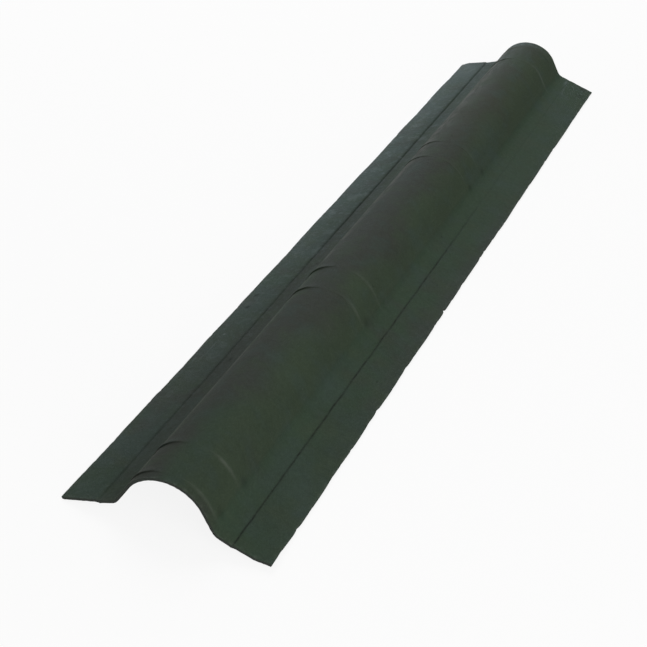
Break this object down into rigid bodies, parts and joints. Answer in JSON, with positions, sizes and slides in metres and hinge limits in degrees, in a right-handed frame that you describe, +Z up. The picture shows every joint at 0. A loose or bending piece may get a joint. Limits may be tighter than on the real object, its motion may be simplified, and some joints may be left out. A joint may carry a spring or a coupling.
{
  "type": "ridge cap",
  "caption": "Long, slightly tapered ridge cap of pressed bitumen-fibre board: a round crown with cross beads between sloping, scored flanges, laid over a small roof's ridge.",
  "frame": {"origin": "midway along and across the cap, on the floor that its two long edges lie on", "axes": "+Y along the length towards the far end in the picture, +X to the right across it, +Z up"},
  "size_m": [0.2, 1.06, 0.0595],
  "materials": {
    "board": "matte"
  },
  "bodies": {
    "root": {"ridge_cap": "board"}
  },
  "joints": []
}
